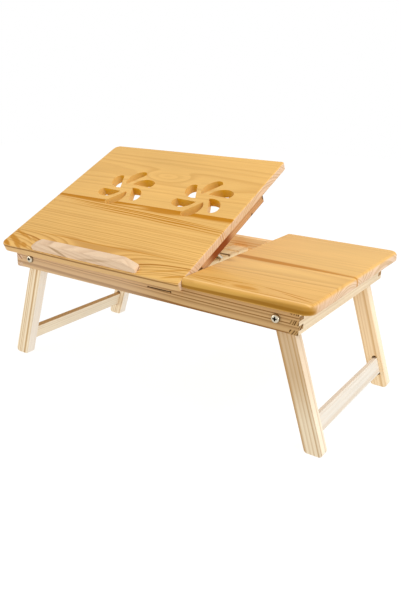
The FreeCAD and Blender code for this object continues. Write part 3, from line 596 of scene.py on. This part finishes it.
class TABLE_OT_tops(bpy.types.Operator):
    """Varnishes the boards of the tilting panel and of the fixed top"""
    bl_idname = "laptop_table.tops"
    bl_label = "Varnish the tops"

    def execute(self, context):
        colours = context.scene.laptop_table_colours
        varnished = Finish(colours.top_early, colours.top_late, colours.top_end, colours.top_end_line,
                           colours.top_heart, *VARNISHED)
        vents = vent_shade_and_light(colours)
        logs = {
            "tilt_board_front": Log(
                PANEL_ALONG, -70, -40, ring=4.4, wander=9, contrast=1.3, seed=1,
                eye=Eye(-95, -10, 115, 35, 32), streaks=panel_front_marks(colours)),
            "tilt_board_middle": Log(
                PANEL_ALONG, 230, -60, slant=-1.6, ring=3.8, wander=8, contrast=0.8, seed=2,
                streaks=panel_middle_marks() + vents),
            "tilt_board_rear": Log(
                PANEL_ALONG, 228, -70, slant=-0.8, dive=0.6, ring=6.0, wander=8, contrast=0.28, seed=3,
                eye=Eye(-97, 228, 40, 13, 12), streaks=vents),
            "fixed_board_front": Log(
                ALONG, 100, -60, slant=1, dive=1, ring=5.0, wander=7, contrast=0.5, seed=4,
                eye=Eye(188, 4, 85, 16, 16), streaks=fixed_front_marks(colours)),
            "fixed_board_rear": Log(ALONG, 240, -90, slant=-1, ring=8.0, wander=6, contrast=0.2, seed=5),
        }

        # Places on the tops are measured from the panel's hinge
        hinge = Vector(joint_named("panel_tilt")["pos_m"])
        for node, log in logs.items():
            pine(node, log, varnished, hinge)
        return {"FINISHED"}


class TABLE_OT_rails(bpy.types.Operator):
    """Finishes the four rails of the frame"""
    bl_idname = "laptop_table.rails"
    bl_label = "Finish the rails"

    def execute(self, context):
        colours = context.scene.laptop_table_colours
        sealed = Finish(colours.rail_early, colours.rail_late, colours.rail_end, colours.end_line,
                        colours.rail_late, *SEALED)
        faint = Finish(colours.rail_early, colours.rail_late, colours.stop_early, colours.stop_late,
                       colours.rail_late, *SEALED)
        # The back rail's golden finish is its own tone made paler as painted light
        golden = Finish(colours.back_early, colours.back_late, colours.rail_end, colours.rail_late,
                        colours.rail_late, *SEALED)
        pale = Finish(colours.leg_early, colours.leg_late, colours.rail_end, colours.end_line,
                      colours.rail_late, *SEALED)
        pale_left = Streak(-140, 0, 220, 90, 0.35, tint=colours.stop_early)
        # Painted shade in the slot in the front rail, in the colour of the end lines
        slot_shade = Streak(39.6, 0, 28, 90, 0.6, up=1.6, half_height=1.4, tint=colours.end_line)
        logs = {
            "front_rail": (Log(ALONG, 34, -41.4, slant=0.8, ring=4.0, contrast=1.15, seed=6,
                               streaks=(pale_left, slot_shade)), sealed),
            "back_rail": (Log(ALONG, -36, 30, slant=-0.6, ring=4.2, seed=7), golden),
            "left_rail": (Log(ACROSS, 28, -34, ring=3.6, seed=8), faint),
            "right_rail": (Log(ACROSS, 70, 30, ring=3.2, contrast=0.5, seed=9), pale),
        }
        for node, (log, finish) in logs.items():
            pine(node, log, finish)
        return {"FINISHED"}


class TABLE_OT_legs(bpy.types.Operator):
    """Finishes the four legs"""
    bl_idname = "laptop_table.legs"
    bl_label = "Finish the legs"

    def execute(self, context):
        colours = context.scene.laptop_table_colours
        sealed = Finish(colours.leg_early, colours.leg_late, colours.leg_end, colours.end_line,
                        colours.leg_late, *SEALED)
        # Painted shade on the upper part of the right front leg, under the top
        shaded_head = Streak(-80, 0, 150, 60, 0.5)
        golden = Streak(0, 0, ALL_OVER, ALL_OVER, 0.4, tint=colours.back_early)
        # Painted light on the legs' sides that face right, faint on the right legs and strong on the left ones
        side = Streak(0, 0, ALL_OVER, ALL_OVER, 0.35, facing=TO_TOP, tint=colours.leg_side_light)
        lit_side_strong = Streak(0, 0, ALL_OVER, ALL_OVER, 0.9, facing=TO_TOP, tint=colours.leg_side_light)
        logs = {
            "right_front_leg": Log(RIGHT_LEG, 26, 46, slant=0.6, dive=0.4, ring=5.5, contrast=0.9, seed=10,
                                   streaks=(shaded_head, side)),
            "right_rear_leg": Log(RIGHT_LEG, 20, -44, slant=-0.6, dive=0.5, ring=4.5, contrast=0.9, seed=11,
                                  streaks=(golden, side)),
            "left_front_leg": Log(LEFT_LEG, 24, 52, slant=0.4, dive=-0.5, ring=4.5, contrast=0.95, seed=12,
                                  streaks=(lit_side_strong,)),
            "left_rear_leg": Log(LEFT_LEG, -22, 48, slant=0.8, dive=0.4, ring=5.0, contrast=0.8, seed=13,
                                 streaks=(lit_side_strong,)),
        }
        for node, log in logs.items():
            pine(node, log, sealed)
        return {"FINISHED"}


class TABLE_OT_bare_pieces(bpy.types.Operator):
    """Sands the book stop, the stretchers and the notched bar, which are left bare"""
    bl_idname = "laptop_table.bare_pieces"
    bl_label = "Sand the bare pieces"

    def execute(self, context):
        colours = context.scene.laptop_table_colours
        stop = Finish(colours.stop_early, colours.stop_late, colours.stop_early, colours.stop_late,
                      colours.stop_knot, *BARE)
        slat = Finish(colours.slat_early, colours.slat_late, colours.slat_late, colours.end_line,
                      colours.slat_late, *BARE)
        # The left slat and the bar take the legs' finish with paler earlywood as painted light
        left_slat = Finish(colours.left_slat_early, colours.leg_late, colours.leg_end, colours.end_line,
                           colours.leg_late, *BARE)
        bar = Finish(colours.bar_early, colours.leg_late, colours.leg_end, colours.end_line,
                     colours.leg_late, *BARE)
        knots = (Streak(-46, 0, 26, 30, 0.6, dive=26, half_height=4.2),
                 Streak(29, 0, 46, 30, 0.35, dive=-8, half_height=3.5))
        # Painted shade on the left slat's upward-facing edge, which the table hides from the light
        shaded_top_edge = Streak(0, 0, ALL_OVER, ALL_OVER, 0.9, facing=TO_TOP, tint=colours.rail_end)
        # Painted shade on the far wall of a notch in the bar
        notch_shade = Streak(73, 0, 8, 60, 0.8, facing=TO_LEFT, tint=colours.end_line)
        logs = {
            "book_stop": (Log(PANEL_ALONG, 12, -40, slant=6, dive=8, ring=7.0, wander=8, contrast=0.35,
                              seed=14, streaks=knots), stop),
            "right_stretcher": (Log(ACROSS, 50, 20, ring=5.0, contrast=0.35, seed=15), slat),
            "left_stretcher": (Log(ACROSS, -44, 30, ring=5.0, contrast=0.35, seed=16,
                                   streaks=(shaded_top_edge,)), left_slat),
            "rack_bar": (Log(ACROSS, 12, -50, ring=5.0, contrast=0.4, seed=17, streaks=(notch_shade,)), bar),
        }
        for node, (log, finish) in logs.items():
            pine(node, log, finish)
        return {"FINISHED"}


class TABLE_OT_battens(bpy.types.Operator):
    """Finishes the battens, the prop's blocks and the dowels"""
    bl_idname = "laptop_table.battens"
    bl_label = "Finish the battens and blocks"

    def execute(self, context):
        colours = context.scene.laptop_table_colours
        bare = Finish(colours.batten_early, colours.batten_late, colours.rail_end, colours.end_line,
                      colours.batten_shade, *BARE)
        # Painted shade as a red-brown stretch on the right batten, in the finish's heart colour
        heart = Streak(-42, 0, 44, 20, 0.9)
        spots = (Streak(53, 0, 4, 20, 0.9, up=-5, half_height=5, tint=colours.end_line),
                 Streak(93, 0, 6, 20, 0.9, up=3, half_height=6, tint=colours.end_line))
        streaks = {"right_batten": (heart, *spots)}
        turns = {"left_batten": PANEL_ACROSS, "right_batten": PANEL_ACROSS,
                 "prop_block_left": PANEL_ACROSS, "prop_block_right": PANEL_ACROSS,
                 "top_dowels": ACROSS, "rack_dowels": ACROSS, "book_stop_dowels": PANEL_ACROSS}
        for number, (node, turn) in enumerate(turns.items()):
            log = Log(turn, 22, 34, slant=1, ring=4.0, contrast=0.7, seed=20 + number,
                      streaks=streaks.get(node, ()))
            pine(node, log, bare)
        return {"FINISHED"}


class TABLE_OT_hardware(bpy.types.Operator):
    """Plates the bolts, nuts, hinges, screws and the prop"""
    bl_idname = "laptop_table.hardware"
    bl_label = "Plate the hardware"

    def execute(self, context):
        for node in frame["nodes"]:
            subpart = next(part for part in frame["record"]["subparts"] if part["node"] == node)
            if subpart["material_slot"] == "zinc_steel":
                wear(node, zinc_steel())
        return {"FINISHED"}


def white_to_the_eye(tree, lit, seen):
    """Mixes a shader that lights the object with one that the camera, gloss and glass see."""
    path = add_node(tree, "ShaderNodeLightPath")
    either = add_node(tree, "ShaderNodeMath", {
        0: path.outputs["Is Camera Ray"], 1: path.outputs["Is Glossy Ray"]}, operation="MAXIMUM")
    any_seen = add_node(tree, "ShaderNodeMath", {
        0: either, 1: path.outputs["Is Transmission Ray"]}, operation="MAXIMUM")
    return add_node(tree, "ShaderNodeMixShader", {0: any_seen, 1: lit, 2: seen})


def soft_lamp(name, place, aim, width, power):
    """A square soft lamp that faces a point."""
    data = bpy.data.lights.new(name, "AREA")
    data.size = width
    data.energy = power
    lamp = bpy.data.objects.new(name, data)
    lamp.location = place
    lamp.rotation_euler = (Vector(aim) - Vector(place)).to_track_quat("-Z", "Y").to_euler()
    bpy.context.scene.collection.objects.link(lamp)


class TABLE_OT_stage(bpy.types.Operator):
    """Sets the floor, the light and the camera at the photograph's angle"""
    bl_idname = "laptop_table.stage"
    bl_label = "Set the stage"

    def execute(self, context):
        scene = context.scene
        light = scene.laptop_table_light
        self.floor(scene, light.floor)
        self.room(scene, light.room)
        centre = (cad_box[0] + cad_box[1]) / 2
        for name, (place, width) in LAMPS.items():
            soft_lamp(name + "_lamp", place, centre, width, getattr(light, name))
        self.camera(scene)
        scene.view_settings.view_transform = "Standard"
        return {"FINISHED"}

    def floor(self, scene, strength):
        """A wide white floor under the feet that lights the table from below."""
        low = cad_box[0].z
        corners = [(x * FLOOR_HALF, y * FLOOR_HALF, low) for x, y in ((-1, -1), (1, -1), (1, 1), (-1, 1))]
        mesh = bpy.data.meshes.new("floor")
        mesh.from_pydata(corners, [], [(0, 1, 2, 3)])
        floor = bpy.data.objects.new("floor", mesh)
        scene.collection.objects.link(floor)
        material = bpy.data.materials.new("white_light_table")
        material.use_nodes = True
        tree = material.node_tree
        tree.nodes.remove(tree.nodes["Principled BSDF"])
        lit = add_node(tree, "ShaderNodeEmission", {"Strength": strength})
        glow = add_node(tree, "ShaderNodeEmission", {"Strength": FLOOR_GLOW})
        grey = add_node(tree, "ShaderNodeBsdfDiffuse", {"Color": FLOOR_GREY})
        seen = add_node(tree, "ShaderNodeAddShader", {0: glow, 1: grey})
        mixed = white_to_the_eye(tree, lit, seen)
        tree.links.new(mixed.outputs[0], tree.nodes["Material Output"].inputs["Surface"])
        mesh.materials.append(material)

    def room(self, scene, strength):
        """Even light from all round, and a white background."""
        world = bpy.data.worlds.new("white_room")
        world.use_nodes = True
        tree = world.node_tree
        tree.nodes.remove(tree.nodes["Background"])
        lit = add_node(tree, "ShaderNodeBackground", {"Color": WHITE, "Strength": strength})
        seen = add_node(tree, "ShaderNodeBackground", {"Color": WHITE, "Strength": 1.0})
        mixed = white_to_the_eye(tree, lit, seen)
        tree.links.new(mixed.outputs[0], tree.nodes["World Output"].inputs["Surface"])
        scene.world = world

    def camera(self, scene):
        """The camera that the photograph was taken from, fitted to the table's straight edges."""
        yaw, pitch, roll = (math.radians(turn) for turn in (CAMERA_YAW, CAMERA_PITCH, CAMERA_ROLL))
        ahead = Vector((-math.sin(yaw) * math.cos(pitch), math.cos(yaw) * math.cos(pitch), -math.sin(pitch)))
        level = Vector((math.cos(yaw), math.sin(yaw), 0))
        up = level.cross(ahead)
        right = level * math.cos(roll) + up * math.sin(roll)
        top = up * math.cos(roll) - level * math.sin(roll)
        data = bpy.data.cameras.new("camera")
        data.sensor_width = SENSOR_MM
        data.lens = FOCAL_PIXELS * SENSOR_MM / PHOTO_HEIGHT
        camera = bpy.data.objects.new("camera", data)
        turn = Matrix((right, top, -ahead)).transposed()
        camera.matrix_world = Matrix.Translation(CAMERA_PLACE) @ turn.to_4x4()
        scene.collection.objects.link(camera)
        scene.camera = camera


class TABLE_PT_sidebar(bpy.types.Panel):
    """Lists the steps and the values of the folding laptop table"""
    bl_idname = "TABLE_PT_sidebar"
    bl_label = "Folding laptop table"
    bl_space_type = "VIEW_3D"
    bl_region_type = "UI"
    bl_category = "Laptop table"

    def draw(self, context):
        for step in STEPS:
            self.layout.operator(step.bl_idname)
        for group in (context.scene.laptop_table_colours, context.scene.laptop_table_grain,
                      context.scene.laptop_table_light):
            for name in group.bl_rna.properties.keys():
                if name not in ("rna_type", "name"):
                    self.layout.prop(group, name)


GROUPS = {"laptop_table_colours": TableColours, "laptop_table_grain": TableGrain,
          "laptop_table_light": TableLight}
STEPS = (TABLE_OT_tops, TABLE_OT_rails, TABLE_OT_legs, TABLE_OT_bare_pieces, TABLE_OT_battens,
         TABLE_OT_hardware, TABLE_OT_stage)


def register():
    """Adds the values, the steps and the sidebar."""
    for name, group in GROUPS.items():
        bpy.utils.register_class(group)
        setattr(bpy.types.Scene, name, bpy.props.PointerProperty(type=group))
    for step in (*STEPS, TABLE_PT_sidebar):
        bpy.utils.register_class(step)


def unregister():
    """Takes the values, the steps and the sidebar away."""
    for step in (*STEPS, TABLE_PT_sidebar):
        bpy.utils.unregister_class(step)
    for name, group in GROUPS.items():
        delattr(bpy.types.Scene, name)
        bpy.utils.unregister_class(group)


def main():
    """Runs every step in order."""
    register()
    bpy.ops.laptop_table.tops()
    bpy.ops.laptop_table.rails()
    bpy.ops.laptop_table.legs()
    bpy.ops.laptop_table.bare_pieces()
    bpy.ops.laptop_table.battens()
    bpy.ops.laptop_table.hardware()
    bpy.ops.laptop_table.stage()


if __name__ == "__main__":
    main()
